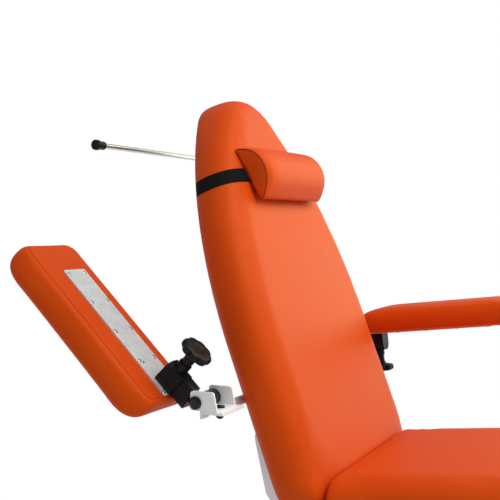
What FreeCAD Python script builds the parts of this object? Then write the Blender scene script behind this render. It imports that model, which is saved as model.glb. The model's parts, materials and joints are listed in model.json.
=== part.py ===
import FreeCAD, Part
import math
import os

# Electric reclining treatment chair, in millimetres.
# Origin on the floor under the middle of the base, +Z up, the chair faces -Y and the sitter's right is -X.
# Rest pose: backrest at its photographed lean, left arm forward for use, right arm folded back.

V = FreeCAD.Vector

# Driving dimensions: where seat and backrest meet, and how they lean
CREASE_Y = 230.0
CREASE_Z = 545.0
BACK_LEAN = 20.5
SEAT_TILT = 6.6

# Backrest
BACK_HALF_WIDTH = 280.0
BACK_TOP = 820.0
BACK_BOTTOM = -52.0
BACK_STRAIGHT = 285.0
BACK_TOP_RADIUS = 124.0
BACK_CORNER_RADIUS = 46.0
BACK_CORNER_LARGEST = 130.0
BACK_DEPTH = 94.0
BACK_CROWN = 5.0
BACK_BOARD_INSET = 22.0
BACK_BOARD_THICKNESS = 15.0

# Seat
SEAT_HALF_WIDTH = 280.0
SEAT_FRONT = -488.0
SEAT_REAR = -6.5
SEAT_REAR_EASING = 0.12
SEAT_REAR_CORNER = 24.0
SEAT_THICKNESS = 100.0
SEAT_CROWN = 6.0
SEAT_BOARD_THICKNESS = 18.0

# Head pillow and its elastic strap
PILLOW_HALF_LENGTH = 150.0
PILLOW_MIDDLE = 616.0
PILLOW_HALF_HEIGHT = 60.0
PILLOW_DEPTH = 54.5
PILLOW_END_DEPTH = 43.0
PILLOW_GAP = 3.0
STRAP_LOW = 600.0
STRAP_HIGH = 632.0
STRAP_THICKNESS = 1.6

# Paper roll holder behind the head
ROLL_S = 757.5
ROLL_N = -207.0
ROLL_FREE_X = -320.0
ROLL_LEG_X = 150.0
ROLL_FOOT_S = 560.0
ROLL_ROD_RADIUS = 5.5
ROLL_BEND = 34.0

# Armrests: fold axis, and the pad in the arm's own frame
ARM_PIVOT_Y = 404.0
ARM_PIVOT_Z = 704.0
ARM_X = 385.0
ARM_FOLD = 129.2
PAD_X = 413.0
PAD_LENGTH = 404.0
PAD_WIDTH = 168.0
PAD_HEIGHT = 60.0
PAD_REAR = 42.0
PAD_UNDERSIDE = 38.0
PAD_PLATE_WIDTH = 64.0
PAD_PLATE_FRONT = -367.0
PAD_PLATE_REAR = -50.0
PAD_PLATE_THICKNESS = 3.0
GRIP_X = 395.0
GRIP_BAR_Z = 11.0
GRIP_BAR_RADIUS = 11.5
CLAMP_FRONT = -90.0
CLAMP_WAIST = -48.0
CLAMP_REAR = -14.0
KNOB_Y = -70.0
KNOB_STEM_TOP = -22.0
SWING_AHEAD = 30.0
FLANGE_OUTER = 36.0
FLANGE_THICKNESS = 4.0
SHAFT_S = 186.0
SHAFT_N = -104.0
SHAFT_RADIUS = 9.0
SHAFT_END = 328.0

# Hinges of backrest and leg rest, with the cranks that the actuators drive
BACK_HINGE_Y = 265.0
BACK_HINGE_Z = 450.0
BACK_CRANK = 76.0
BACK_TRAVEL = 50.0
LEG_HINGE_Y = -215.0
LEG_HINGE_Z = 455.0
LEG_CRANK = 60.0
LEG_TRAVEL = 60.0
LEG_HANG = 70.0
HINGE_SHAFT_RADIUS = 10.0
PIVOT_CLEARANCE = 0.2
CRANK_PIN_RADIUS = 6.0
CRANK_SLOT_WIDTH = 15.0
ACTUATOR_X = 125.0
ACTUATOR_ROD_RADIUS = 10.0
BACK_STUB_Y = -110.0
LEG_STUB_Y = 205.0
STUB_RADIUS = 6.0

# Chassis and telescopic column
BEAM_HALF_WIDTH = 75.0
BEAM_BOTTOM = 372.0
BEAM_TOP = 422.0
BEAM_FRONT = -190.0
BEAM_REAR = 250.0
COLUMN_Y = 25.0
COLUMN_HALF_X = 80.0
COLUMN_HALF_Y = 65.0
COLUMN_WALL = 4.0
COLUMN_GAP = 0.5
COLUMN_FLANGE = 8.0

# Base and castors
RAIL_X = 330.0
RAIL_HALF_WIDTH = 30.0
RAIL_BOTTOM = 155.0
RAIL_TOP = 195.0
RAIL_FRONT = -270.0
RAIL_REAR = 390.0
CROSS_FRONT_Y = -80.0
CROSS_REAR_Y = 130.0
CASTOR_FRONT_Y = -225.0
CASTOR_REAR_Y = 345.0
WHEEL_RADIUS = 62.5
WHEEL_HALF_WIDTH = 15.0
CASTOR_TRAIL = 38.0
CASTOR_PIN_RADIUS = 8.0

# Leg rest, measured from its hinge along the leg and outwards from it
LEG_PAD_START = 45.0
LEG_PAD_END = 375.0
LEG_HALF_WIDTH = 220.0
LEG_BOARD_LOW = 45.0
LEG_BOARD_HIGH = 60.0
LEG_PAD_HIGH = 128.0
FOOT_PLATE_AT = 388.0

BACK_FRAME = FreeCAD.Placement(V(0, CREASE_Y, CREASE_Z), FreeCAD.Rotation(V(1, 0, 0), 90 - BACK_LEAN))
SEAT_FRAME = FreeCAD.Placement(V(0, CREASE_Y, CREASE_Z), FreeCAD.Rotation(V(1, 0, 0), -SEAT_TILT))
LEG_FRAME = FreeCAD.Placement(V(0, LEG_HINGE_Y, LEG_HINGE_Z), FreeCAD.Rotation(V(1, 0, 0), LEG_HANG))

SIDES = (("right", -1), ("left", 1))


# Small building blocks
def box(x, y, z):
    return Part.makeBox(x[1] - x[0], y[1] - y[0], z[1] - z[0], V(x[0], y[0], z[0]))


def span(middle, half):
    return (middle - half, middle + half)


def mirrored(side, near, far):
    """The X range from near to far, on one side of the middle plane."""
    return tuple(sorted((side * near, side * far)))


def rod(start, end, radius):
    start = V(*start)
    axis = V(*end) - start
    return Part.makeCylinder(radius, axis.Length, start, axis)


def cross_rod(x, y, z, radius):
    """A cylinder that lies along X."""
    return rod((x[0], y, z), (x[1], y, z), radius)


def side_plate(x, points):
    """A flat plate in the Y-Z plane, between two X values."""
    corners = [V(x[0], y, z) for y, z in points]
    face = Part.Face(Part.makePolygon(corners + corners[:1]))
    return face.extrude(V(x[1] - x[0], 0, 0))


def placed(shape, frame):
    return shape.transformed(frame.toMatrix(), True)


def moved(frame_at, angle):
    """A frame at a point, turned about X."""
    return FreeCAD.Placement(V(*frame_at), FreeCAD.Rotation(V(1, 0, 0), angle))


def rounded_outline(half_x, half_y, radius, height, draw_in=0.0, middle=(0.0, 0.0), rear_radius=None):
    """A closed outline of four sides and four corner arcs; the sides can draw in between the corners.

    With a rear radius of its own the rear side, at the largest Y, is straight.
    """
    cx, cy = middle
    radii = {-1: radius, 1: rear_radius or radius}
    edges = []
    turns = ((1, -1), (1, 1), (-1, 1), (-1, -1))
    for index, (sx, sy) in enumerate(turns):
        across = index % 2 == 0
        here = radii[sy]
        corner = V(cx + sx * (half_x - here), cy + sy * (half_y - here), height)
        along_x = corner + V(sx * here, 0, 0)
        along_y = corner + V(0, sy * here, 0)
        start, end = (along_y, along_x) if across else (along_x, along_y)
        middle_point = corner + V(sx, sy, 0) * (here * math.sqrt(0.5))
        edges.append(Part.Arc(start, middle_point, end).toShape())
        nx, ny = turns[(index + 1) % 4]
        there = radii[ny]
        next_corner = V(cx + nx * (half_x - there), cy + ny * (half_y - there), height)
        side_end = next_corner + (V(nx * there, 0, 0) if across else V(0, ny * there, 0))
        straight_rear = rear_radius and index == 1
        if draw_in > 0 and not straight_rear:
            inward = V(-sx * draw_in, 0, 0) if across else V(0, -sy * draw_in, 0)
            edges.append(Part.Arc(end, (end + side_end) * 0.5 + inward, side_end).toShape())
        else:
            edges.append(Part.LineSegment(end, side_end).toShape())
    return Part.Wire(edges)


def padded_form(outline, profile):
    """A padded body: one outline joined in bands through the heights and insets of its edge profile."""
    return Part.makeLoft([outline(inset, height) for height, inset in profile], True, True)


def hollow_tube(half_x, half_z, length, wall, radius):
    """A rectangular tube along +Y with rounded corners."""
    outer = Part.Face(rounded_outline(half_x, half_z, radius, 0))
    inner = Part.Face(rounded_outline(half_x - wall, half_z - wall, radius - wall * 0.5, 0))
    upright = outer.cut(inner).extrude(V(0, 0, length))
    return placed(upright, moved((0, length, 0), 90))


def tube_at(x, y, z, wall, radius):
    """A rectangular tube that fills an X range and a Z range from one Y to another."""
    tube = hollow_tube((x[1] - x[0]) / 2, (z[1] - z[0]) / 2, y[1] - y[0], wall, radius)
    tube.translate(V((x[0] + x[1]) / 2, y[0], (z[0] + z[1]) / 2))
    return tube


def cross_tube_at(x, y, z, wall, radius):
    """A rectangular tube that lies along X."""
    tube = hollow_tube((y[1] - y[0]) / 2, (z[1] - z[0]) / 2, x[1] - x[0], wall, radius)
    tube.rotate(V(0, 0, 0), V(0, 0, 1), -90)
    tube.translate(V(x[0], (y[0] + y[1]) / 2, (z[0] + z[1]) / 2))
    return tube


def save(name, *solids):
    shape = solids[0] if len(solids) == 1 else Part.makeCompound(list(solids))
    if not shape.isValid():
        print("not valid:", name)
    shape.exportStep("parts/" + name + ".step")
    print("%-20s solids %d volume %.0f" % (name, len(shape.Solids), shape.Volume))


# Base: two rails on castors, two cross members and the plate that carries the column
def base_rail(side):
    x = span(side * RAIL_X, RAIL_HALF_WIDTH)
    z = (RAIL_BOTTOM, RAIL_TOP)
    rail = tube_at(x, (RAIL_FRONT, RAIL_REAR), z, 3, 8)
    inside = span(side * RAIL_X, RAIL_HALF_WIDTH - 3)
    for y in (CASTOR_FRONT_Y, CASTOR_REAR_Y):
        rail = rail.fuse(box(inside, span(y, 34), (RAIL_BOTTOM + 1, RAIL_TOP - 1)))
        bore_start = (side * RAIL_X, y, RAIL_BOTTOM - 1)
        bore_end = (side * RAIL_X, y, RAIL_BOTTOM + 21)
        rail = rail.cut(rod(bore_start, bore_end, CASTOR_PIN_RADIUS + PIVOT_CLEARANCE))
    for y in (RAIL_FRONT, RAIL_REAR):
        rail = rail.fuse(box(inside, span(y + (4 if y < 0 else -4), 4), (RAIL_BOTTOM + 1, RAIL_TOP - 1)))
    return rail.removeSplitter()


def base_cross(y):
    x = (-RAIL_X + RAIL_HALF_WIDTH, RAIL_X - RAIL_HALF_WIDTH)
    return cross_tube_at(x, span(y, 25), (RAIL_BOTTOM, RAIL_TOP), 3, 6)


def column_stage(step, bottom, top):
    """One sleeve of the telescopic column; each step in is one wall and one gap smaller."""
    shrink = step * (COLUMN_WALL + COLUMN_GAP)
    half_x = COLUMN_HALF_X - shrink
    half_y = COLUMN_HALF_Y - shrink
    radius = 18.0 - shrink
    middle = (0.0, COLUMN_Y)
    outer = Part.Face(rounded_outline(half_x, half_y, radius, bottom, middle=middle))
    wall = COLUMN_WALL
    inner = Part.Face(rounded_outline(half_x - wall, half_y - wall, radius - wall, bottom, middle=middle))
    return outer.cut(inner).extrude(V(0, 0, top - bottom))


def make_base():
    for name, side in SIDES:
        save("base_rail_" + name, base_rail(side))
    save("base_cross_front", base_cross(CROSS_FRONT_Y))
    save("base_cross_rear", base_cross(CROSS_REAR_Y))
    foot = box((-120, 120), (-110, 160), (RAIL_BOTTOM - 8, RAIL_BOTTOM))
    save("column_outer", column_stage(0, RAIL_BOTTOM, 345).fuse(foot).removeSplitter())
    save("column_middle", column_stage(1, RAIL_BOTTOM + 7, 352))
    inner_top = BEAM_BOTTOM - COLUMN_FLANGE
    flange = box((-88, 88), span(COLUMN_Y, 85), (inner_top, BEAM_BOTTOM))
    save("column_inner", column_stage(2, RAIL_BOTTOM + 13, inner_top).fuse(flange).removeSplitter())


# Castors: swivel fork with its axle, wheel and brake pedal
def castor_fork():
    crown = box((-23, 23), (-26, 30), (131, 143))
    race = rod((0, 0, 143), (0, 0, RAIL_BOTTOM - 0.3), 25)
    pin = rod((0, 0, 150), (0, 0, RAIL_BOTTOM + 20), CASTOR_PIN_RADIUS)
    fork = crown.fuse([race, pin])
    for side in (-1, 1):
        x = mirrored(side, 19, 23)
        leg = side_plate(x, ((-24, 133), (30, 133), (CASTOR_TRAIL + 13, 66), (CASTOR_TRAIL - 13, 58)))
        eye = cross_rod(x, CASTOR_TRAIL, WHEEL_RADIUS, 14)
        ear = box(mirrored(side, 15, 19), (29, 51), (129, 142))
        fork = fork.fuse([leg, eye, ear])
    fork = fork.fuse(cross_rod((-26, 26), CASTOR_TRAIL, WHEEL_RADIUS, 5))
    fork = fork.cut(cross_rod((-24, 24), 44, 135.5, 3 + PIVOT_CLEARANCE))
    return fork.removeSplitter()


def castor_wheel():
    """Hub, web and rounded tyre, turned about the axle."""
    half = WHEEL_HALF_WIDTH
    bore = 5 + PIVOT_CLEARANCE
    shoulder = WHEEL_RADIUS - 9
    right = [V(17, bore, 0), V(17, 14, 0), V(9, 17, 0), V(9, 40, 0), V(half, 43, 0), V(half, shoulder, 0)]
    left = [V(-p.x, p.y, 0) for p in reversed(right)]
    edges = [Part.LineSegment(a, b).toShape() for a, b in zip(right, right[1:])]
    edges.append(Part.Arc(right[-1], V(0, WHEEL_RADIUS, 0), left[0]).toShape())
    edges += [Part.LineSegment(a, b).toShape() for a, b in zip(left, left[1:])]
    edges.append(Part.LineSegment(left[-1], right[0]).toShape())
    wheel = Part.Face(Part.Wire(edges)).revolve(V(0, 0, 0), V(1, 0, 0), 360)
    wheel.translate(V(0, CASTOR_TRAIL, WHEEL_RADIUS))
    return wheel


def castor_pedal():
    hub = cross_rod((-14.5, 14.5), 44, 135.5, 6)
    pin = cross_rod((-18.5, 18.5), 44, 135.5, 3)
    points = ((44, 135.5), (50, 140.5), (88, 139), (104, 128), (101, 124.5), (86, 133), (48, 131))
    tread = side_plate((-14, 14), points)
    return hub.fuse([pin, tread]).removeSplitter()


def make_castors():
    for end, y in (("front", CASTOR_FRONT_Y), ("rear", CASTOR_REAR_Y)):
        for name, side in SIDES:
            here = V(side * RAIL_X, y, 0)
            pieces = {"fork": castor_fork(), "wheel": castor_wheel(), "pedal": castor_pedal()}
            for piece, shape in pieces.items():
                shape.translate(here)
                save("castor_%s_%s_%s" % (piece, end, name), shape)


# Chassis: beam, hinge lugs, seat wedges and the controls
def hinge_lug(side, hinge, points):
    x = mirrored(side, BEAM_HALF_WIDTH, BEAM_HALF_WIDTH + 10)
    plate = side_plate(x, points).fuse(cross_rod(x, hinge[0], hinge[1], 18))
    bore = cross_rod((x[0] - 1, x[1] + 1), hinge[0], hinge[1], HINGE_SHAFT_RADIUS + PIVOT_CLEARANCE)
    return plate.cut(bore).removeSplitter()


def actuator_stub(side, y, z):
    """Stub axle that an actuator hangs on, with the plate that welds it to the side of the beam."""
    plate = box(mirrored(side, BEAM_HALF_WIDTH, BEAM_HALF_WIDTH + 8), span(y, 22), (z - 16, BEAM_TOP - 8))
    return plate.fuse(cross_rod(mirrored(side, BEAM_HALF_WIDTH, ACTUATOR_X + 18), y, z, STUB_RADIUS))


def seat_wedge(side):
    """Side plate under the seat board that sets its tilt."""
    rise = math.tan(math.radians(SEAT_TILT))
    under = SEAT_THICKNESS + SEAT_BOARD_THICKNESS
    low_point = SEAT_FRAME.multVec(V(0, 0, -under))
    front, rear = -170.0, 195.0
    tops = [low_point.z + (low_point.y - y) * rise for y in (rear, front)]
    x = mirrored(side, 60, 68)
    plate = side_plate(x, ((front, BEAM_TOP), (rear, BEAM_TOP), (rear, tops[0]), (front, tops[1])))
    for y, radius in ((-130, 14), (-75, 11), (-25, 8)):
        plate = plate.cut(cross_rod((x[0] - 1, x[1] + 1), y, BEAM_TOP + radius + 7, radius))
    return plate


def control_box():
    body = Part.Face(rounded_outline(65, 60, 10, 318, middle=(0, 180))).extrude(V(0, 0, BEAM_BOTTOM - 318))
    body = body.makeFillet(4, [edge for edge in body.Edges if edge.BoundBox.ZMax < 318.01])
    for x in (-42, -14, 14, 42):
        body = body.cut(rod((x, 226, 345), (x, 241, 345), 8))
        body = body.fuse(rod((x, 224, 345), (x, 234, 345), 2.5))
    return body.removeSplitter()


def seat_outline(inset, height):
    """Round in front and at the sides, nearly square at the rear where it meets the backrest."""
    front = SEAT_FRONT + inset
    rear = SEAT_REAR - inset * SEAT_REAR_EASING
    return rounded_outline(SEAT_HALF_WIDTH - inset, (rear - front) / 2, max(62 - inset, 20), height,
                           draw_in=4, middle=(0, (front + rear) / 2), rear_radius=SEAT_REAR_CORNER)


def seat_cushion():
    profile = ((-SEAT_THICKNESS, 8), (-92, 1.5), (-80, 0), (-52, 0), (-30, 7), (-13, 24), (-2, 56),
               (SEAT_CROWN, 115))
    return padded_form(seat_outline, profile)


def make_chassis():
    beam = tube_at((-BEAM_HALF_WIDTH, BEAM_HALF_WIDTH), (BEAM_FRONT, BEAM_REAR), (BEAM_BOTTOM, BEAM_TOP), 5, 8)
    rear = ((195, 380), (255, 380), (283, 447), (247, 450), (214, 420), (195, 420))
    front = ((-140, 380), (-140, 420), (-196, 456), (-233, 452), (-206, 380))
    welded = [actuator_stub(1, BACK_STUB_Y, BACK_HINGE_Z - BACK_CRANK),
              actuator_stub(-1, LEG_STUB_Y, LEG_HINGE_Z - LEG_CRANK)]
    for _, side in SIDES:
        welded.append(hinge_lug(side, (BACK_HINGE_Y, BACK_HINGE_Z), rear))
        welded.append(hinge_lug(side, (LEG_HINGE_Y, LEG_HINGE_Z), front))
        welded.append(seat_wedge(side))
    save("chassis_beam", beam.fuse(welded).removeSplitter())
    save("control_box", control_box())
    under = -SEAT_THICKNESS - SEAT_BOARD_THICKNESS
    board = Part.Face(seat_outline(18, under)).extrude(V(0, 0, SEAT_BOARD_THICKNESS))
    save("seat_board", placed(board, SEAT_FRAME))
    save("seat_cushion", placed(seat_cushion(), SEAT_FRAME))


# Actuators: housing with motor and gearbox, rod with a fork, slotted crank on the hinge shaft
def crank(hinge, reach, rest_angle, x):
    """A lever with a radial slot, hanging from the hinge and leaning by the rest angle towards +Y."""
    end = reach / math.cos(math.radians(rest_angle)) + 18
    plate = side_plate(x, ((-19, 0), (19, 0), (16, -end), (-16, -end)))
    plate = plate.fuse(cross_rod(x, 0, 0, 19))
    near = reach - CRANK_PIN_RADIUS - 1.5
    far = end - 10
    half = CRANK_SLOT_WIDTH / 2
    wide_x = (x[0] - 1, x[1] + 1)
    slot = box(wide_x, (-half, half), (-far + half, -near - half + 4))
    slot = slot.fuse([cross_rod(wide_x, 0, -far + half, half), cross_rod(wide_x, 0, -near - half + 4, half)])
    return placed(plate.cut(slot), moved((0, hinge[0], hinge[1]), rest_angle))


def actuator_rod(x, pin_y, z, direction, inner_end):
    """Rod and fork; the fork opens towards direction along Y and carries the cross pin."""
    base = pin_y - direction * 28
    fork = box(span(x, 14), tuple(sorted((base - direction * 12, pin_y + direction * 11))), span(z, 12))
    fork = fork.cut(box(span(x, 6), tuple(sorted((base, pin_y + direction * 12))), span(z, 13)))
    pin = cross_rod(span(x, 16), pin_y, z, CRANK_PIN_RADIUS)
    stem = rod((x, inner_end, z), (x, base - direction * 6, z), ACTUATOR_ROD_RADIUS)
    return fork.fuse([pin, stem]).removeSplitter()


def actuator_housing(x, z, mouth, gear, back, eye, direction):
    """Outer tube, gearbox, motor slung below it and the eye it hangs on."""
    tube = rod((x, gear, z), (x, mouth, z), 20)
    collar = rod((x, mouth - direction * 14, z), (x, mouth, z), 23)
    gearbox = box(span(x, 30), tuple(sorted((gear, back))), (z - 76, z + 28))
    gearbox = gearbox.makeFillet(8, gearbox.Edges)
    motor = rod((x, gear - direction * 4, z - 50), (x, gear + direction * 128, z - 50), 24)
    lug = box(span(x, 12), tuple(sorted((back, eye))), span(z, 12)).fuse(cross_rod(span(x, 12), eye, z, 13))
    bore = rod((x, gear + direction * 4, z), (x, mouth + direction, z), ACTUATOR_ROD_RADIUS + PIVOT_CLEARANCE)
    eye_bore = cross_rod(span(x, 13), eye, z, STUB_RADIUS)
    return tube.fuse([collar, gearbox, motor, lug]).cut(bore).cut(eye_bore).removeSplitter()


def make_drives():
    back_angle = BACK_TRAVEL / 2
    leg_angle = LEG_TRAVEL / 2
    back_z = BACK_HINGE_Z - BACK_CRANK
    leg_z = LEG_HINGE_Z - LEG_CRANK
    back_pin = BACK_HINGE_Y + BACK_CRANK * math.tan(math.radians(back_angle))
    leg_pin = LEG_HINGE_Y + LEG_CRANK * math.tan(math.radians(leg_angle))
    back_x, leg_x = ACTUATOR_X, -ACTUATOR_X
    shaft = cross_rod((-236, 236), BACK_HINGE_Y, BACK_HINGE_Z, HINGE_SHAFT_RADIUS)
    lever = crank((BACK_HINGE_Y, BACK_HINGE_Z), BACK_CRANK, back_angle, span(back_x, 4))
    save("back_crank_shaft", shaft.fuse(lever).removeSplitter())
    shaft = cross_rod((-142, 96), LEG_HINGE_Y, LEG_HINGE_Z, HINGE_SHAFT_RADIUS)
    lever = crank((LEG_HINGE_Y, LEG_HINGE_Z), LEG_CRANK, leg_angle, span(leg_x, 4))
    save("leg_crank_shaft", shaft.fuse(lever).removeSplitter())
    save("back_actuator", actuator_housing(back_x, back_z, 165, -20, -90, BACK_STUB_Y, 1))
    save("back_actuator_rod", actuator_rod(back_x, back_pin, back_z, 1, 62))
    save("leg_actuator", actuator_housing(leg_x, leg_z, -70, 115, 185, LEG_STUB_Y, -1))
    save("leg_actuator_rod", actuator_rod(leg_x, leg_pin, leg_z, -1, 100))


# Backrest, in its own frame: X across, Y up along the back (s), Z out of its front face (n)
def back_outline(inset, height):
    """Straight sides that run by two large arcs into a round top, with round lower corners."""
    half = BACK_HALF_WIDTH
    top_centre = BACK_TOP - BACK_TOP_RADIUS
    rise = top_centre - BACK_STRAIGHT
    side_radius = (half ** 2 + rise ** 2 - BACK_TOP_RADIUS ** 2) / (2 * (half - BACK_TOP_RADIUS))
    side_centre = half - side_radius
    meet = math.atan2(rise, -side_centre)
    corner = min(BACK_CORNER_RADIUS + 2 * inset, BACK_CORNER_LARGEST)
    x = half - inset
    bottom = BACK_BOTTOM + inset
    top_radius = BACK_TOP_RADIUS - inset
    arc_radius = side_radius - inset

    def on_side(sign, angle):
        reach = side_centre + arc_radius * math.cos(angle)
        return V(sign * reach, BACK_STRAIGHT + arc_radius * math.sin(angle), height)

    def on_corner(sign, angle):
        reach = corner * math.cos(angle)
        return V(sign * (x - corner + reach), bottom + corner - corner * math.sin(angle), height)

    quarter = math.pi / 2
    straight_end = [V(sign * x, BACK_STRAIGHT, height) for sign in (1, -1)]
    top_point = V(0, top_centre + top_radius, height)
    return Part.Wire([
        Part.LineSegment(on_corner(-1, quarter), on_corner(1, quarter)).toShape(),
        Part.Arc(on_corner(1, quarter), on_corner(1, quarter / 2), on_corner(1, 0)).toShape(),
        Part.LineSegment(on_corner(1, 0), straight_end[0]).toShape(),
        Part.Arc(straight_end[0], on_side(1, meet / 2), on_side(1, meet)).toShape(),
        Part.Arc(on_side(1, meet), top_point, on_side(-1, meet)).toShape(),
        Part.Arc(on_side(-1, meet), on_side(-1, meet / 2), straight_end[1]).toShape(),
        Part.LineSegment(straight_end[1], on_corner(-1, 0)).toShape(),
        Part.Arc(on_corner(-1, 0), on_corner(-1, quarter / 2), on_corner(-1, quarter)).toShape()])


def back_half_width(s):
    """Half width of the outline on its side arc, at a height along the back."""
    half = BACK_HALF_WIDTH
    rise = BACK_TOP - BACK_TOP_RADIUS - BACK_STRAIGHT
    radius = (half ** 2 + rise ** 2 - BACK_TOP_RADIUS ** 2) / (2 * (half - BACK_TOP_RADIUS))
    return half - radius + math.sqrt(radius ** 2 - (s - BACK_STRAIGHT) ** 2)


def back_board():
    face = Part.Face(back_outline(BACK_BOARD_INSET, -BACK_DEPTH))
    return face.extrude(V(0, 0, BACK_BOARD_THICKNESS))


def back_cushion():
    profile = ((-BACK_DEPTH, 13), (-88, 5), (-79, 0), (-40, 0), (-24, 3), (-11, 10), (-2, 22), (2, 38),
               (BACK_CROWN, 88))
    return padded_form(back_outline, profile).cut(back_board())


def pillow_section(x, scale, depth):
    """A round segment with its flat at the back: its chord scaled, its front at a depth from the flat."""
    n = BACK_CROWN + PILLOW_GAP
    half = PILLOW_HALF_HEIGHT * scale
    radius = (half ** 2 + depth ** 2) / (2 * depth)
    centre = n + depth - radius
    rim_angle = math.atan2(n - centre, half)
    between = (rim_angle + math.pi / 2) / 2
    reach, out = radius * math.cos(between), centre + radius * math.sin(between)
    low = V(x, PILLOW_MIDDLE - half, n)
    high = V(x, PILLOW_MIDDLE + half, n)
    front = V(x, PILLOW_MIDDLE, n + depth)
    lower = Part.Arc(low, V(x, PILLOW_MIDDLE - reach, out), front).toShape()
    upper = Part.Arc(front, V(x, PILLOW_MIDDLE + reach, out), high).toShape()
    return Part.Wire([lower, upper, Part.LineSegment(high, low).toShape()])


def pillow():
    """Head roll, full along its middle and drawn in towards the flat discs at its ends."""
    end = PILLOW_HALF_LENGTH
    steps = ((end, 0.955, PILLOW_END_DEPTH), (end - 5, 0.985, PILLOW_END_DEPTH + 5),
             (end - 16, 1.0, PILLOW_DEPTH - 3.5), (end - 40, 1.0, PILLOW_DEPTH))
    sections = [pillow_section(-x, scale, depth) for x, scale, depth in steps]
    sections += [pillow_section(x, scale, depth) for x, scale, depth in reversed(steps)]
    return Part.makeLoft(sections, True, True)


def strap_ring(s, grow):
    """The strap's loop round the backrest at one height, as a rounded box section."""
    half = back_half_width(s) + 1.2 + grow
    low, high = -BACK_DEPTH - 0.6 - grow, BACK_CROWN + 0.8 + grow
    rear, front = 14.0, 40.0
    slant = 1 - math.sqrt(0.5)
    edges = []
    for sign in (1, -1):
        rear_start = V(sign * (half - rear), s, low)
        rear_end = V(sign * half, s, low + rear)
        front_start = V(sign * half, s, high - front)
        front_end = V(sign * (half - front), s, high)
        rear_mid = V(sign * (half - rear * slant), s, low + rear * slant)
        front_mid = V(sign * (half - front * slant), s, high - front * slant)
        side = [Part.Arc(rear_start, rear_mid, rear_end).toShape(),
                Part.LineSegment(rear_end, front_start).toShape(),
                Part.Arc(front_start, front_mid, front_end).toShape()]
        edges.append((side, rear_start, front_end))
    (right, right_low, right_high), (left, left_low, left_high) = edges
    across_front = Part.LineSegment(right_high, left_high).toShape()
    across_rear = Part.LineSegment(left_low, right_low).toShape()
    return Part.Wire(Part.__sortEdges__(right + [across_front] + left + [across_rear]))


def pillow_strap():
    outer = Part.makeLoft([strap_ring(s, STRAP_THICKNESS) for s in (STRAP_LOW, STRAP_HIGH)], True, True)
    inner = Part.makeLoft([strap_ring(s, 0) for s in (STRAP_LOW - 0.001, STRAP_HIGH + 0.001)], True, True)
    return outer.cut(inner)


def back_lever(side):
    """Side lever from the hinge shaft up behind the backrest, with the flange that the board is screwed to."""
    hinge = BACK_FRAME.inverse().multVec(V(0, BACK_HINGE_Y, BACK_HINGE_Z))
    rear = -BACK_DEPTH
    x = mirrored(side, 222, 230)
    points = ((BACK_BOTTOM - 6, rear), (104, rear), (113, rear - 3), (117, rear - 10), (117, rear - 18),
              (112, rear - 25), (100, rear - 28), (0, rear - 41), (-84, rear - 20), (hinge.y - 19, hinge.z - 4),
              (hinge.y - 2, hinge.z + 19), (BACK_BOTTOM - 6, hinge.z))
    plate = side_plate(x, points).fuse(cross_rod(x, hinge.y, hinge.z, 20))
    flange = box(mirrored(side, 186, 223), (-22, 100), (rear - 6, rear))
    bore = cross_rod((x[0] - 1, x[1] + 1), hinge.y, hinge.z, HINGE_SHAFT_RADIUS)
    return plate.fuse(flange).cut(bore).removeSplitter()


def shaft_saddle(x):
    """Block behind the board that grips the arm shaft."""
    rear = -BACK_DEPTH
    block = box(span(x, 20), span(SHAFT_S, 26), (rear - 24, rear))
    block = block.makeFillet(6, [edge for edge in block.Edges if edge.BoundBox.ZMax < rear - 1])
    return block.cut(cross_rod(span(x, 21), SHAFT_S, SHAFT_N, SHAFT_RADIUS))


def roll_bar():
    """Round bar with one free end for the roll, bent down to the plate that holds it on the board."""
    free = V(ROLL_FREE_X, ROLL_S, ROLL_N)
    corner = V(ROLL_LEG_X, ROLL_S, ROLL_N)
    foot = V(ROLL_LEG_X, ROLL_FOOT_S, -BACK_DEPTH - 5)
    down = (foot - corner).normalize()
    start = corner - V(ROLL_BEND, 0, 0)
    end = corner + down * ROLL_BEND
    centre = start + down * ROLL_BEND
    middle = centre + (corner - centre).normalize() * ROLL_BEND
    path = Part.Wire([Part.LineSegment(free, start).toShape(), Part.Arc(start, middle, end).toShape(),
                      Part.LineSegment(end, foot).toShape()])
    section = Part.Wire(Part.makeCircle(ROLL_ROD_RADIUS, free, V(1, 0, 0)))
    bar = path.makePipeShell([section], True, False)
    foot_plate = box(span(ROLL_LEG_X, 22), span(ROLL_FOOT_S, 30), (-BACK_DEPTH - 5, -BACK_DEPTH))
    return bar.fuse(foot_plate).removeSplitter()


def roll_cap():
    inside = ROLL_FREE_X + 20
    head = cross_rod((ROLL_FREE_X - 7, ROLL_FREE_X + 1), ROLL_S, ROLL_N, 10.5)
    sleeve = cross_rod((ROLL_FREE_X, inside), ROLL_S, ROLL_N, 8.5)
    bore = cross_rod((ROLL_FREE_X, inside + 1), ROLL_S, ROLL_N, ROLL_ROD_RADIUS)
    return head.fuse(sleeve).cut(bore).removeSplitter()


def make_back():
    shaft = cross_rod((-SHAFT_END, SHAFT_END), SHAFT_S, SHAFT_N, SHAFT_RADIUS)
    pieces = {
        "back_board": back_board(),
        "back_cushion": back_cushion(),
        "head_pillow": pillow(),
        "pillow_strap": pillow_strap(),
        "arm_shaft": shaft,
        "roll_holder_bar": roll_bar(),
        "roll_holder_cap": roll_cap(),
        "back_lever_right": back_lever(-1),
        "back_lever_left": back_lever(1)}
    for name, shape in pieces.items():
        save(name, placed(shape, BACK_FRAME))
    save("shaft_saddles", *[placed(shaft_saddle(x), BACK_FRAME) for x in (-150, 150)])


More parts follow.
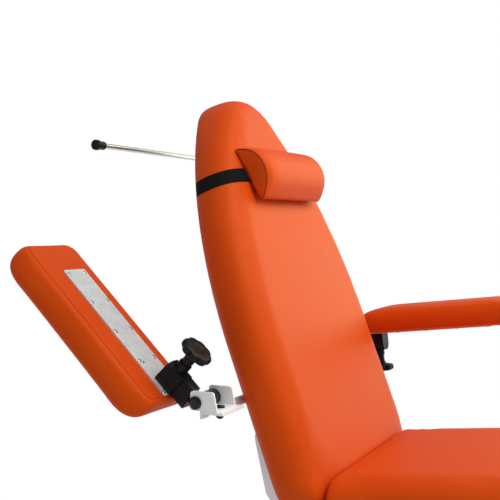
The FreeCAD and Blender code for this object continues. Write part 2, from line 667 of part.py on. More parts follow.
# Armrests: support on the shaft, swinging bracket, folding spindle, clamp with knob, plate and pad
def arm_support(side):
    """Plate welded to the shaft end, with the hole of the upright bolt and a folded lip."""
    plate = box(mirrored(side, SHAFT_END, 412), (-50, -4), (-21.5, -16.5))
    cheek = box(mirrored(side, SHAFT_END, SHAFT_END + 5), (-26, 2), (-33, -16.5))
    lip = box(mirrored(side, 386, 412), (-8, -4), (-30.5, -16.5))
    bolt = rod((side * ARM_X, -SWING_AHEAD, -40), (side * ARM_X, -SWING_AHEAD, 0), 6 + PIVOT_CLEARANCE)
    return plate.fuse([cheek, lip]).cut(bolt).removeSplitter()


def arm_bracket(side):
    """Folded U: two upright cheeks joined by a web that turns on the upright bolt."""
    bracket = box(span(side * ARM_X, FLANGE_OUTER), (-44, -18), (-16, -12))
    for edge in (-1, 1):
        middle = side * ARM_X + edge * (FLANGE_OUTER - FLANGE_THICKNESS / 2)
        x = span(middle, FLANGE_THICKNESS / 2)
        cheek = side_plate(x, ((-44, -16), (13, -13), (10, 21), (-36, 21)))
        corners = [line for line in cheek.Edges if line.BoundBox.XLength > 1]
        eased = [line for line in corners if line.BoundBox.ZMax > 0 or line.BoundBox.YMin > 12]
        bracket = bracket.fuse(cheek.makeFillet(6, eased))
    bracket = bracket.cut(cross_rod(span(side * ARM_X, 40), 0, 0, 6))
    bracket = bracket.cut(rod((side * ARM_X, -SWING_AHEAD, -20), (side * ARM_X, -SWING_AHEAD, 0), 6))
    return bracket.removeSplitter()


def arm_bolts(side):
    """Cross bolt with two domed caps, and the upright bolt with its domed nut."""
    x = side * ARM_X
    cross = cross_rod(span(x, FLANGE_OUTER), 0, 0, 6)
    for edge in (-1, 1):
        disc = cross_rod(tuple(sorted((x + edge * FLANGE_OUTER, x + edge * (FLANGE_OUTER + 4)))), 0, 0, 12)
        crown_base = V(x + edge * (FLANGE_OUTER + 4), 0, 0)
        crown = Part.makeCone(12, 7, 4, crown_base, V(edge, 0, 0))
        cross = cross.fuse([disc, crown])
    upright = rod((x, -SWING_AHEAD, -24), (x, -SWING_AHEAD, -12), 6)
    head = rod((x, -SWING_AHEAD, -12), (x, -SWING_AHEAD, -9), 9)
    dome = Part.makeSphere(8, V(x, -SWING_AHEAD, -25), V(0, 0, -1), 0, 90)
    collar = rod((x, -SWING_AHEAD, -25), (x, -SWING_AHEAD, -21.7), 8)
    return cross.removeSplitter(), upright.fuse([head, dome, collar]).removeSplitter()


def arm_spindle(side):
    """Knuckle on the cross bolt with the round bar that the clamp grips."""
    x = side * ARM_X
    grip = side * GRIP_X
    knuckle = cross_rod(span(x, 31), 0, 0, 15)
    bar = rod((grip, -4, GRIP_BAR_Z), (grip, -79, GRIP_BAR_Z), GRIP_BAR_RADIUS)
    bore = cross_rod(span(x, 32), 0, 0, 6 + PIVOT_CLEARANCE)
    return knuckle.fuse(bar.cut(cross_rod(span(x, 32), 0, 0, 14))).cut(bore).removeSplitter()


def clamp_section(y, half, low):
    """Clamp cross section: flat against the plate, ridged where its flanks begin, rounded below."""
    shoulder, high, radius = half - 1.5, PAD_UNDERSIDE - PAD_PLATE_THICKNESS, half - 6.5
    ridge = high - 9
    bend = radius * (1 - math.sqrt(0.5))
    points = [V(-shoulder, y, high), V(shoulder, y, high), V(half, y, ridge), V(half - 1.5, y, low + radius),
              V(half - 1.5 - radius, y, low), V(-half + 1.5 + radius, y, low), V(-half + 1.5, y, low + radius),
              V(-half, y, ridge)]
    lower_right = V(half - 1.5 - bend, y, low + bend)
    lower_left = V(-half + 1.5 + bend, y, low + bend)
    edges = [Part.LineSegment(points[index], points[index + 1]).toShape() for index in (0, 1, 2)]
    edges.append(Part.Arc(points[3], lower_right, points[4]).toShape())
    edges.append(Part.LineSegment(points[4], points[5]).toShape())
    edges.append(Part.Arc(points[5], lower_left, points[6]).toShape())
    edges.append(Part.LineSegment(points[6], points[7]).toShape())
    edges.append(Part.LineSegment(points[7], points[0]).toShape())
    return Part.Wire(edges)


def arm_clamp(side):
    """Moulded clamp: a barrel with the knob's boss, and a narrow neck between the bracket's cheeks."""
    barrel = Part.Face(clamp_section(CLAMP_WAIST, 23.0, -8.5)).extrude(V(0, CLAMP_FRONT - CLAMP_WAIST, 0))
    neck = Part.Face(clamp_section(CLAMP_REAR, 17.5, -7.5)).extrude(V(0, CLAMP_WAIST - CLAMP_REAR, 0))
    boss = rod((0, KNOB_Y, 0), (0, KNOB_Y, KNOB_STEM_TOP), 13)
    bore = rod((0, CLAMP_REAR + 1, GRIP_BAR_Z), (0, -81, GRIP_BAR_Z), GRIP_BAR_RADIUS + PIVOT_CLEARANCE)
    knuckle_room = cross_rod((-30, 30), 0, 0, 22)
    clamp = barrel.fuse([neck, boss]).cut(bore).cut(knuckle_room)
    clamp = clamp.cut(rod((0, KNOB_Y, KNOB_STEM_TOP - 1), (0, KNOB_Y, 0), 5 + PIVOT_CLEARANCE))
    clamp = clamp.cut(box((-1.5, 1.5), (CLAMP_FRONT - 1, -80), (-7, 8)))
    clamp.translate(V(side * GRIP_X, 0, 0))
    return clamp.removeSplitter()


def arm_knob(side):
    """Eight-lobed hand knob with its stem and screw."""
    lobes = 8
    head = rod((0, 0, -62), (0, 0, -46), 27)
    for index in range(lobes):
        angle = 2 * math.pi * index / lobes
        x, y = 25.0 * math.cos(angle), 25.0 * math.sin(angle)
        head = head.fuse(rod((x, y, -60.5), (x, y, -47), 7))
    stem = Part.makeCone(16, 11, 10, V(0, 0, -46)).fuse(rod((0, 0, -37), (0, 0, KNOB_STEM_TOP - 0.3), 11))
    screw = rod((0, 0, KNOB_STEM_TOP - 2), (0, 0, -4), 5)
    knob = head.fuse([stem, screw]).removeSplitter()
    knob.translate(V(side * GRIP_X, KNOB_Y, 0))
    return knob


def arm_plate(side):
    """Steel plate under the pad, with the hole left free for a longer clamp."""
    x = side * GRIP_X
    z = (PAD_UNDERSIDE - PAD_PLATE_THICKNESS, PAD_UNDERSIDE)
    middle = (x, (PAD_PLATE_FRONT + PAD_PLATE_REAR) / 2)
    half_length = (PAD_PLATE_REAR - PAD_PLATE_FRONT) / 2
    outline = rounded_outline(PAD_PLATE_WIDTH / 2, half_length, 4, z[0], middle=middle)
    plate = Part.Face(outline).extrude(V(0, 0, z[1] - z[0]))
    hole_x = x + side * 17
    return plate.cut(rod((hole_x, -127, z[0] - 1), (hole_x, -127, z[1] + 1), 3))


def arm_pad(side):
    """Padded block whose long edges are tight and whose ends fall away softly."""
    middle = (side * PAD_X, -PAD_REAR - PAD_LENGTH / 2)
    low = PAD_UNDERSIDE
    high = low + PAD_HEIGHT
    profile = ((low, 7, 8), (low + 4, 1.5, 2), (low + 11, 0, 0), (high - 28, 0, 1), (high - 18, 1, 6),
               (high - 11, 3, 13), (high - 6, 6, 23), (high - 2.5, 10, 35), (high, 22, 66))
    sections = []
    for height, edge_inset, end_inset in profile:
        corner = max(30 - edge_inset * 0.3, 8)
        sections.append(rounded_outline(PAD_WIDTH / 2 - edge_inset, PAD_LENGTH / 2 - end_inset, corner, height,
                                        draw_in=2, middle=middle))
    return Part.makeLoft(sections, True, True)


def make_arms():
    for name, side in SIDES:
        upright = moved((0, ARM_PIVOT_Y, ARM_PIVOT_Z), 0)
        fold = ARM_FOLD if name == "right" else 0.0
        arm = moved((0, ARM_PIVOT_Y, ARM_PIVOT_Z), -SEAT_TILT - fold)
        save("arm_support_" + name, placed(arm_support(side), upright))
        save("arm_bracket_" + name, placed(arm_bracket(side), upright))
        save("arm_bolts_" + name, *[placed(bolt, upright) for bolt in arm_bolts(side)])
        pieces = {"spindle": arm_spindle(side), "clamp": arm_clamp(side), "knob": arm_knob(side),
                  "plate": arm_plate(side), "pad": arm_pad(side)}
        for piece, shape in pieces.items():
            save("arm_%s_%s" % (piece, name), placed(shape, arm))


# Leg rest, in its own frame: Y up along the leg towards the hinge, Z out of its padded face
def leg_outline(inset, height):
    half_length = (LEG_PAD_END - LEG_PAD_START) / 2
    return rounded_outline(LEG_HALF_WIDTH - inset, half_length - inset, max(46 - inset, 16), height,
                           draw_in=3, middle=(0, -(LEG_PAD_START + LEG_PAD_END) / 2))


def leg_cushion():
    low, high = LEG_BOARD_HIGH, LEG_PAD_HIGH
    profile = ((low, 6), (low + 6, 1), (low + 14, 0), (high - 38, 0), (high - 20, 6), (high - 7, 22),
               (high, 52))
    return padded_form(leg_outline, profile)


def leg_beam():
    """Rectangular tube that the foot bar slides in, on a gusset that clamps the hinge shaft."""
    tube = box((-30, 30), (-330, -46), (15, 45))
    points = ((14, -16), (14, 14), (-34, 20), (-58, 45), (-76, 45), (-76, 15), (-40, -16))
    gusset = side_plate((-30, 30), points)
    channel = box((-27, 27), (-331, -80), (18, 42))
    shaft = cross_rod((-31, 31), 0, 0, HINGE_SHAFT_RADIUS)
    return tube.fuse(gusset).cut(channel).cut(shaft).removeSplitter()


def foot_rest():
    """Bar inside the leg beam with the tread plate and its turned-up lip."""
    bar = box((-26.5, 26.5), (-FOOT_PLATE_AT, -150), (18.5, 41.5))
    tread = box((-150, 150), (-FOOT_PLATE_AT - 6, -FOOT_PLATE_AT), (18.5, 172))
    upright = [line for line in tread.Edges if line.BoundBox.XLength + line.BoundBox.ZLength < 1]
    tread = tread.makeFillet(30, [line for line in upright if line.BoundBox.ZMax > 100])
    lip = box((-110, 110), (-FOOT_PLATE_AT - 6, -FOOT_PLATE_AT + 12), (166, 172))
    return bar.fuse([tread, lip]).removeSplitter()


def make_leg():
    board = Part.Face(leg_outline(14, LEG_BOARD_LOW)).extrude(V(0, 0, LEG_BOARD_HIGH - LEG_BOARD_LOW))
    for name, shape in (("leg_board", board), ("leg_cushion", leg_cushion()), ("leg_beam", leg_beam()),
                        ("foot_rest", foot_rest())):
        save(name, placed(shape, LEG_FRAME))


os.makedirs("parts", exist_ok=True)
make_base()
make_castors()
make_chassis()
make_drives()
make_back()
make_arms()
make_leg()
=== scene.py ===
import json
import math

import bmesh
import bpy
from mathutils import Matrix, Vector
from mathutils.bvhtree import BVHTree


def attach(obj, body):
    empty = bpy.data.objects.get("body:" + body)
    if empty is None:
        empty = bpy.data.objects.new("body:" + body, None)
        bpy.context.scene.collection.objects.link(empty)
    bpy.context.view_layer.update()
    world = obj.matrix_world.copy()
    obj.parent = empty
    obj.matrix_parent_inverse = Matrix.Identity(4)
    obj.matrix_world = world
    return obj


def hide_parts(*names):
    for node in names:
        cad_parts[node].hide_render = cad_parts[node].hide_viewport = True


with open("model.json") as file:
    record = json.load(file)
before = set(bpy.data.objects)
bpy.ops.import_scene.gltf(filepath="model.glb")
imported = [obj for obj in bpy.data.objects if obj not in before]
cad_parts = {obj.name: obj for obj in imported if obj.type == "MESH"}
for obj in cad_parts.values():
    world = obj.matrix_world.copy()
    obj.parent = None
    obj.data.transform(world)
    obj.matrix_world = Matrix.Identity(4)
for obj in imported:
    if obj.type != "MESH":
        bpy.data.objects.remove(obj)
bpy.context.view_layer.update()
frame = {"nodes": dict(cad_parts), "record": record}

scene = bpy.context.scene
nodes = frame["nodes"]

# Lengths are in metres and angles in degrees. The sitter faces -Y, with the right hand at -X.
SIDES = (("right", -1), ("left", 1))
BACK_LEAN, SEAT_PITCH, LEG_HANG, ARM_FOLD = 20.5, -6.6, 70, -129.2
CREASE, KNEE, ARM_PIVOT = (0.230, 0.545), (-0.215, 0.455), (0.404, 0.704)


def turned_frame(place, degrees):
    """A cushion's own frame: at a point (y, z) of the middle plane, turned about X."""
    y, z = place
    return Matrix.Translation((0, y, z)) @ Matrix.Rotation(math.radians(degrees), 4, "X")


BACK = turned_frame(CREASE, 90 - BACK_LEAN)
SEAT = turned_frame(CREASE, SEAT_PITCH)
LEG = turned_frame(KNEE, LEG_HANG)
ARM = {"left": turned_frame(ARM_PIVOT, SEAT_PITCH),
       "right": turned_frame(ARM_PIVOT, SEAT_PITCH + ARM_FOLD)}


# Shader wiring
class Wire:
    """A shader socket that takes part in sums, differences and products."""

    def __init__(self, wiring, socket):
        self.wiring = wiring
        self.socket = socket

    def _with(self, operation, first, second):
        return self.wiring.node("ShaderNodeMath", {"operation": operation}, {0: first, 1: second})

    def __add__(self, other):
        return self._with("ADD", self, other)

    def __radd__(self, other):
        return self._with("ADD", other, self)

    def __sub__(self, other):
        return self._with("SUBTRACT", self, other)

    def __rsub__(self, other):
        return self._with("SUBTRACT", other, self)

    def __mul__(self, other):
        return self._with("MULTIPLY", self, other)

    def __rmul__(self, other):
        return self._with("MULTIPLY", other, self)


class Wiring:
    """A node tree, and the one way in which nodes are added to it."""

    def __init__(self, tree):
        self.tree = tree
        tree.nodes.clear()

    def add(self, kind, settings, inputs):
        """A new node: its type, its settings, then the values or links of its sockets."""
        made = self.tree.nodes.new(kind)
        for name, value in settings.items():
            setattr(made, name, value)
        for key, value in inputs.items():
            self.feed(made.inputs[key], value)
        return made

    def node(self, kind, settings, inputs, result=0):
        """One result of a new node."""
        return Wire(self, self.add(kind, settings, inputs).outputs[result])

    def feed(self, socket, value):
        if isinstance(value, Wire):
            self.tree.links.new(value.socket, socket)
        else:
            socket.default_value = value

    def rays(self, first, second):
        """1 for a ray of either kind, else 0."""
        either = [self.node("ShaderNodeLightPath", {}, {}, kind) for kind in (first, second)]
        return self.node("ShaderNodeMath", {"operation": "MAXIMUM"}, dict(enumerate(either)))


class Finish(Wiring):
    """One procedural material: its shader and the patterns that feed it."""

    def __init__(self, name):
        self.material = bpy.data.materials.new(name)
        self.material.use_nodes = True
        super().__init__(self.material.node_tree)
        self.shader = self.add("ShaderNodeBsdfPrincipled", {}, {})
        self.surface = Wire(self, self.shader.outputs["BSDF"])
        self.output = self.add("ShaderNodeOutputMaterial", {}, {"Surface": self.surface})

    def set(self, **values):
        """Feeds the shader's own sockets, with an underscore for each space in their names."""
        for name, value in values.items():
            self.feed(self.shader.inputs[name.replace("_", " ")], value)

    def place(self, stretch_by=(1, 1, 1)):
        """Object coordinates, stretched."""
        coordinates = self.node("ShaderNodeTexCoord", {}, {}, "Object")
        return self.node("ShaderNodeMapping", {}, {"Vector": coordinates, "Scale": stretch_by})

    def noise(self, at, scale, detail=2.0, roughness=0.5):
        sockets = {"Vector": at, "Scale": scale, "Detail": detail, "Roughness": roughness}
        return self.node("ShaderNodeTexNoise", {}, sockets, "Fac")

    def cells(self, at, scale, result="Distance"):
        return self.node("ShaderNodeTexVoronoi", {}, {"Vector": at, "Scale": scale}, result)

    def between(self, factor, first, second):
        """A colour between two colours."""
        sockets = {"Factor": factor, 6: first, 7: second}
        return self.node("ShaderNodeMix", {"data_type": "RGBA"}, sockets, 2)

    def step(self, value, low, high):
        """0 below the low value, 1 above the high one, with a soft step between them."""
        return self.node("ShaderNodeMapRange", {"interpolation_type": "SMOOTHSTEP"},
                         {"Value": value, "From Min": low, "From Max": high})

    def relief(self, height, strength, depth):
        sockets = {"Height": height, "Strength": strength, "Distance": depth}
        self.set(Normal=self.node("ShaderNodeBump", {}, sockets))


def rgb(red, green, blue):
    return (red, green, blue, 1.0)


# Finishes
def vinyl(name, deep, light, grain=1.0):
    """Coated upholstery cloth: pebbled grain, cloudy tone and a satin sheen."""
    finish = Finish(name)
    at = finish.place()
    cloud = finish.noise(at, scale=6.0, detail=3.0)
    fine = finish.noise(at, scale=900.0)
    tone = finish.step(cloud, 0.3, 0.7)
    hollow = finish.step(finish.cells(at, scale=520.0), 0.15, 0.75)
    finish.set(Base_Color=finish.between(tone * 0.75 + hollow * 0.25, deep, light),
               Roughness=0.40 + cloud * 0.1 + hollow * 0.05,
               Specular_IOR_Level=0.16,
               Specular_Tint=rgb(1.0, 0.88, 0.40))
    finish.relief(hollow * 0.7 + fine * 0.3, strength=0.14 * grain, depth=0.0004)
    return finish.material


def powder_coat(name, colour, shade):
    """Stoved powder paint with a slight orange peel and faint handling marks."""
    finish = Finish(name)
    at = finish.place()
    peel = finish.noise(at, scale=420.0, detail=1.0)
    marks = finish.step(finish.noise(at, scale=22.0, detail=4.0, roughness=0.65), 0.52, 0.8)
    finish.set(Base_Color=finish.between(marks * 0.5, colour, shade),
               Roughness=0.3 + marks * 0.18 + peel * 0.05)
    finish.relief(peel, strength=0.1, depth=0.0003)
    return finish.material


def galvanised(name):
    """Zinc plate with soft spangle and rubbed patches."""
    finish = Finish(name)
    dull, clean = rgb(0.66, 0.69, 0.68), rgb(0.80, 0.82, 0.81)
    at = finish.place()
    spangle = finish.node("ShaderNodeSeparateColor", {},
                          {"Color": finish.cells(at, scale=85.0, result="Color")}, "Red")
    rubbed = finish.noise(at, scale=30.0, detail=4.0, roughness=0.6)
    finish.set(Base_Color=finish.between(spangle * 0.3 + rubbed * 0.5, dull, clean),
               Roughness=0.38 + spangle * 0.06 + rubbed * 0.14,
               Metallic=0.4)
    finish.relief(rubbed, strength=0.05, depth=0.0004)
    return finish.material


def plated(name, colour, roughness):
    """Smooth plated steel with fine drawn lines along the bar."""
    finish = Finish(name)
    darker = rgb(*[channel * 0.86 for channel in colour[:3]])
    lines = finish.noise(finish.place((6, 900, 900)), scale=1.0, detail=3.0)
    haze = finish.noise(finish.place(), scale=40.0, detail=3.0)
    finish.set(Base_Color=finish.between(haze, colour, darker),
               Roughness=roughness + lines * 0.08 + haze * 0.06,
               Metallic=1.0)
    finish.relief(lines, strength=0.03, depth=0.0002)
    return finish.material


def anodised(name):
    """Extruded aluminium with upright die lines."""
    finish = Finish(name)
    dark, light = rgb(0.60, 0.61, 0.62), rgb(0.74, 0.75, 0.76)
    lines = finish.noise(finish.place((700, 700, 4)), scale=1.0, detail=3.0)
    haze = finish.noise(finish.place(), scale=18.0, detail=3.0)
    finish.set(Base_Color=finish.between(haze, dark, light),
               Roughness=0.32 + lines * 0.14,
               Metallic=0.95)
    finish.relief(lines, strength=0.04, depth=0.0002)
    return finish.material


def moulded(name, colour, light, roughness, texture, shine=0.35):
    """Moulded plastic or cast cover with a spark-eroded texture and polished wear."""
    finish = Finish(name)
    at = finish.place()
    spark = finish.noise(at, scale=1100.0)
    worn = finish.step(finish.noise(at, scale=45.0, detail=4.0, roughness=0.6), 0.5, 0.78)
    finish.set(Base_Color=finish.between(worn * 0.6 + spark * 0.2, colour, light),
               Roughness=roughness - worn * 0.1 + spark * 0.08,
               Specular_IOR_Level=shine)
    finish.relief(spark, strength=texture, depth=0.0003)
    return finish.material


def tyre_rubber(name):
    """Grey tread rubber with a dusty face."""
    finish = Finish(name)
    clean, dusty = rgb(0.16, 0.165, 0.17), rgb(0.30, 0.305, 0.31)
    at = finish.place()
    dust = finish.noise(at, scale=55.0, detail=4.0, roughness=0.65)
    pore = finish.noise(at, scale=800.0)
    finish.set(Base_Color=finish.between(dust, clean, dusty),
               Roughness=0.62 + dust * 0.22)
    finish.relief(pore, strength=0.16, depth=0.0004)
    return finish.material


def woven_band(name):
    """Black elastic: ribs across the band and fine warp threads along it."""
    finish = Finish(name)
    black, worn = rgb(0.002, 0.002, 0.002), rgb(0.009, 0.009, 0.010)
    along = finish.node("ShaderNodeTexCoord", {}, {}, "UV")
    ribs = finish.node("ShaderNodeTexWave", {"bands_direction": "X"},
                       {"Vector": along, "Scale": 330.0, "Distortion": 0.4, "Detail": 1.0}, "Fac")
    warp = finish.node("ShaderNodeTexWave", {"bands_direction": "Y"},
                       {"Vector": along, "Scale": 190.0, "Distortion": 0.2}, "Fac")
    lint = finish.noise(finish.place(), scale=260.0, detail=3.0)
    finish.set(Base_Color=finish.between(ribs * 0.35 + warp * 0.25 + lint * 0.4, black, worn),
               Roughness=0.78 + lint * 0.15,
               Specular_IOR_Level=0.12)
    finish.relief(ribs * 0.6 + warp * 0.4, strength=0.35, depth=0.0006)
    return finish.material


def backing_cloth(name):
    """Black non-woven cloth stapled over the boards."""
    finish = Finish(name)
    black, worn = rgb(0.012, 0.012, 0.013), rgb(0.045, 0.045, 0.047)
    fibre = finish.noise(finish.place((420, 420, 420)), scale=1.0, detail=5.0, roughness=0.7)
    dimple = finish.cells(finish.place(), scale=330.0)
    finish.set(Base_Color=finish.between(fibre, black, worn),
               Roughness=0.8 + fibre * 0.15)
    finish.relief(dimple * 0.6 + fibre * 0.4, strength=0.3, depth=0.0005)
    return finish.material


# The seam welt is the orange vinyl darkened to about a third: painted shade of the seam's groove.
PAINTED_SEAM_SHADE = vinyl("orange seam painted shade", rgb(0.22, 0.019, 0.003), rgb(0.28, 0.025, 0.004), grain=0.6)
BRIGHT_SCREW = plated("bright screw", rgb(0.88, 0.88, 0.88), roughness=0.18)
FINISHES = {
    "orange_vinyl": vinyl("orange vinyl", rgb(0.64, 0.060, 0.0027), rgb(0.69, 0.070, 0.0038)),
    "black_elastic": woven_band("black elastic"),
    "white_enamel": powder_coat("white powder coat", rgb(0.94, 0.945, 0.94),
                                rgb(0.87, 0.875, 0.87)),
    "zinc_steel": galvanised("galvanised steel"),
    "chrome_bar": plated("satin bar", rgb(0.70, 0.71, 0.70), roughness=0.26),
    "black_plastic": moulded("black moulding", rgb(0.004, 0.004, 0.0045),
                             rgb(0.013, 0.013, 0.0135), roughness=0.42, texture=0.12, shine=0.2),
    "black_cap": moulded("black cap", rgb(0.004, 0.004, 0.0045),
                         rgb(0.010, 0.010, 0.0105), roughness=0.28, texture=0.05, shine=0.3),
    "grey_plastic": moulded("grey moulding", rgb(0.17, 0.175, 0.18),
                            rgb(0.24, 0.245, 0.25), roughness=0.5, texture=0.14),
    "grey_tyre": tyre_rubber("grey tyre"),
    "anodised": anodised("anodised column"),
    "dark_cast": moulded("dark cast cover", rgb(0.07, 0.072, 0.075),
                         rgb(0.13, 0.132, 0.136), roughness=0.52, texture=0.16),
    "board_black": backing_cloth("black backing cloth"),
}

for part in frame["record"]["subparts"]:
    shell = nodes[part["node"]]
    if not shell.material_slots:
        shell.data.materials.append(None)
    shell.material_slots[0].material = FINISHES[part["material_slot"]]


# Modelling helpers: a blank's radius before it is shaped, and the angle that smooths every edge
BLANK_RADIUS = 0.1
SMOOTH_ALL_OVER = 180.0


def clear_selection():
    bpy.ops.object.select_all(action="DESELECT")


def make_active(piece):
    clear_selection()
    piece.select_set(True)
    bpy.context.view_layer.objects.active = piece


def apply_modifier(piece, kind, **settings):
    make_active(piece)
    modifier = piece.modifiers.new(kind.lower(), kind)
    for name, value in settings.items():
        setattr(modifier, name, value)
    bpy.ops.object.modifier_apply(modifier=modifier.name)


def settle(piece, name, matrix, body, slot, material=None, angle=35.0):
    """Puts a finished piece in its place through its mesh, on the body that carries it."""
    make_active(piece)
    piece.name = name
    piece.data.name = name
    piece.data.transform(matrix @ piece.matrix_basis)
    piece.matrix_basis = Matrix.Identity(4)
    bpy.ops.object.shade_smooth_by_angle(angle=math.radians(angle))
    piece.data.materials.clear()
    piece.data.materials.append(material or FINISHES[slot])
    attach(piece, body)
    clear_selection()


def start_disc(corners):
    """A flat disc of so many corners, in edit mode, for an outline to shape."""
    clear_selection()
    bpy.ops.mesh.primitive_circle_add(vertices=corners, radius=BLANK_RADIUS, fill_type="NGON")
    bpy.ops.object.mode_set(mode="EDIT")
    return bpy.context.object


def shape_face(piece, outline, height):
    """Moves the corners of the selected face to an outline at one height."""
    mesh = bmesh.from_edit_mesh(piece.data)
    face = next(face for face in mesh.faces if face.select)
    for vert, (x, y) in zip([corner.vert for corner in face.loops], outline):
        vert.co = (x, y, height)
    bmesh.update_edit_mesh(piece.data)


def select_faces(piece, wanted):
    """Selects the faces for which wanted(face) is true, and no others."""
    bpy.ops.mesh.select_all(action="DESELECT")
    mesh = bmesh.from_edit_mesh(piece.data)
    for face in mesh.faces:
        face.select = wanted(face)
    bmesh.update_edit_mesh(piece.data)


def turn_outwards():
    """Turns every face outwards and leaves edit mode."""
    bpy.ops.mesh.select_all(action="SELECT")
    bpy.ops.mesh.normals_make_consistent(inside=False)
    bpy.ops.object.mode_set(mode="OBJECT")


# Outlines
CORNER_STEPS, SIDE_STEPS, LOW_EDGE_STEPS, LARGE_ARC_STEPS = 10, 14, 20, 30
STRAIGHT = (0, 0)


def arc(centre, radius, start, stop, count):
    """Points on an arc, its last one left to the next stretch."""
    turns = [math.radians(start + (stop - start) * step / count) for step in range(count)]
    return [(centre[0] + radius * math.cos(t), centre[1] + radius * math.sin(t)) for t in turns]


def stretch(first, last, inward, count):
    """Points on a side that draws in between its corners, its last one left out."""
    points = []
    for step in range(count):
        t = step / count
        bow = 4 * t * (1 - t)
        points.append((first[0] + (last[0] - first[0]) * t + inward[0] * bow,
                       first[1] + (last[1] - first[1]) * t + inward[1] * bow))
    return points


def rounded_loop(half_x, half_y, radius, draw_in, middle, rear_radius=None):
    """A rectangle with round corners and slightly drawn-in sides.

    With a radius of its own the rear side is straight.
    """
    cx, cy = middle
    x, y = half_x - radius, half_y - radius
    rear = rear_radius or radius
    rear_x, rear_y = half_x - rear, half_y - rear
    rear_bow = (0, 0 if rear_radius else -draw_in)
    loop = arc((cx + x, cy - y), radius, -90, 0, CORNER_STEPS)
    loop += stretch((cx + half_x, cy - y), (cx + half_x, cy + rear_y), (-draw_in, 0), SIDE_STEPS)
    loop += arc((cx + rear_x, cy + rear_y), rear, 0, 90, CORNER_STEPS)
    loop += stretch((cx + rear_x, cy + half_y), (cx - rear_x, cy + half_y), rear_bow, SIDE_STEPS)
    loop += arc((cx - rear_x, cy + rear_y), rear, 90, 180, CORNER_STEPS)
    loop += stretch((cx - half_x, cy + rear_y), (cx - half_x, cy - y), (draw_in, 0), SIDE_STEPS)
    loop += arc((cx - x, cy - y), radius, 180, 270, CORNER_STEPS)
    loop += stretch((cx - x, cy - half_y), (cx + x, cy - half_y), (0, draw_in), SIDE_STEPS)
    return loop


# The backrest's outline, up from the crease: straight flanks, large arcs and a round top
BACK_HALF, BACK_TOP, BACK_LOW = 0.280, 0.8178, -0.0505
BACK_STRAIGHT, BACK_ROUND = 0.285, 0.126
BACK_LOW_BULGE, BACK_CORNER, BACK_CORNER_MOST = 0.003, 0.060, 0.130


def back_loop(form):
    """The backrest's outline at one level, drawn in all round and its top raised on its own."""
    inset, raised = form
    half = BACK_HALF - inset
    low = BACK_LOW + max(inset, -BACK_LOW_BULGE)
    corner = min(BACK_CORNER + 2 * max(inset, 0), BACK_CORNER_MOST)
    top_y = BACK_TOP + raised - BACK_ROUND
    rise = top_y - BACK_STRAIGHT
    flank = (BACK_HALF ** 2 + rise ** 2 - BACK_ROUND ** 2) / (2 * (BACK_HALF - BACK_ROUND))
    flank_x = BACK_HALF - flank
    meet = math.degrees(math.atan2(rise, -flank_x))
    side = arc((flank_x, BACK_STRAIGHT), flank - inset, 0, meet, LARGE_ARC_STEPS)
    corner_x, corner_y = half - corner, low + corner
    loop = arc((corner_x, corner_y), corner, -90, 0, CORNER_STEPS)
    loop += stretch((half, corner_y), (half, BACK_STRAIGHT), STRAIGHT, SIDE_STEPS)
    loop += side
    loop += arc((0, top_y), BACK_ROUND - inset, meet, 180 - meet, LARGE_ARC_STEPS)
    loop += [(-x, y) for x, y in reversed(side)]
    loop += stretch((-half, BACK_STRAIGHT), (-half, corner_y), STRAIGHT, SIDE_STEPS)[1:]
    loop += arc((-corner_x, corner_y), corner, 180, 270, CORNER_STEPS)
    loop += stretch((-corner_x, low), (corner_x, low), STRAIGHT, LOW_EDGE_STEPS)
    return loop


# Upholstery
COVER_CLOTH = {
    "quality": 4,
    "mass": 0.25,
    "tension_stiffness": 18.0,
    "compression_stiffness": 18.0,
    "shear_stiffness": 8.0,
    "bending_stiffness": 1.5,
    "use_pressure": True,
}
PLUMPING_TICKS = 20


def pad_blank(loop_at, profile):
    """A closed blank: a disc shaped to the outline and drawn up level by level."""
    blank = start_disc(len(loop_at(profile[0][1])))
    for level, (height, form) in enumerate(profile):
        if level:
            bpy.ops.mesh.extrude_region_move()
        shape_face(blank, loop_at(form), height)
    turn_outwards()
    return blank


def plump(pad, held, limit, pressure):
    """Blows the cover up over its foam, as cloth under pressure.

    The cover stays where held(point) is true and moves by the limit at most elsewhere.
    """
    start = [vert.co.copy() for vert in pad.data.vertices]
    group = pad.vertex_groups.new(name="held")
    group.add([index for index, point in enumerate(start) if held(point)], 1.0, "REPLACE")
    make_active(pad)
    cloth = pad.modifiers.new("cover", "CLOTH")
    for name, value in COVER_CLOTH.items():
        setattr(cloth.settings, name, value)
    cloth.settings.uniform_pressure_force = pressure
    cloth.settings.effector_weights.gravity = 0.0
    cloth.settings.vertex_group_mass = group.name
    cloth.collision_settings.use_collision = False
    cloth.point_cache.frame_start = 1
    cloth.point_cache.frame_end = PLUMPING_TICKS
    for tick in range(1, PLUMPING_TICKS + 1):
        scene.frame_set(tick)
    blown = pad.evaluated_get(bpy.context.evaluated_depsgraph_get())
    target = [vert.co.copy() for vert in blown.data.vertices]
    pad.modifiers.clear()
    pad.vertex_groups.clear()
    for vert, old, new in zip(pad.data.vertices, start, target):
        shift = new - old
        if shift.length > limit:
            shift *= limit / shift.length
        vert.co = old + shift
    scene.frame_set(1)


def swell(point, low, high, middle, half, amount):
    """Crown of a face: full in the middle, none at the rim, and only on the upper side."""
    if point.z < low:
        return 0.0
    u = min(abs(point.x - middle[0]) / half[0], 1.0)
    v = min(abs(point.y - middle[1]) / half[1], 1.0)
    lift = (1 - u * u) * (1 - v * v)
    return amount * lift * min((point.z - low) / (high - low), 1.0)


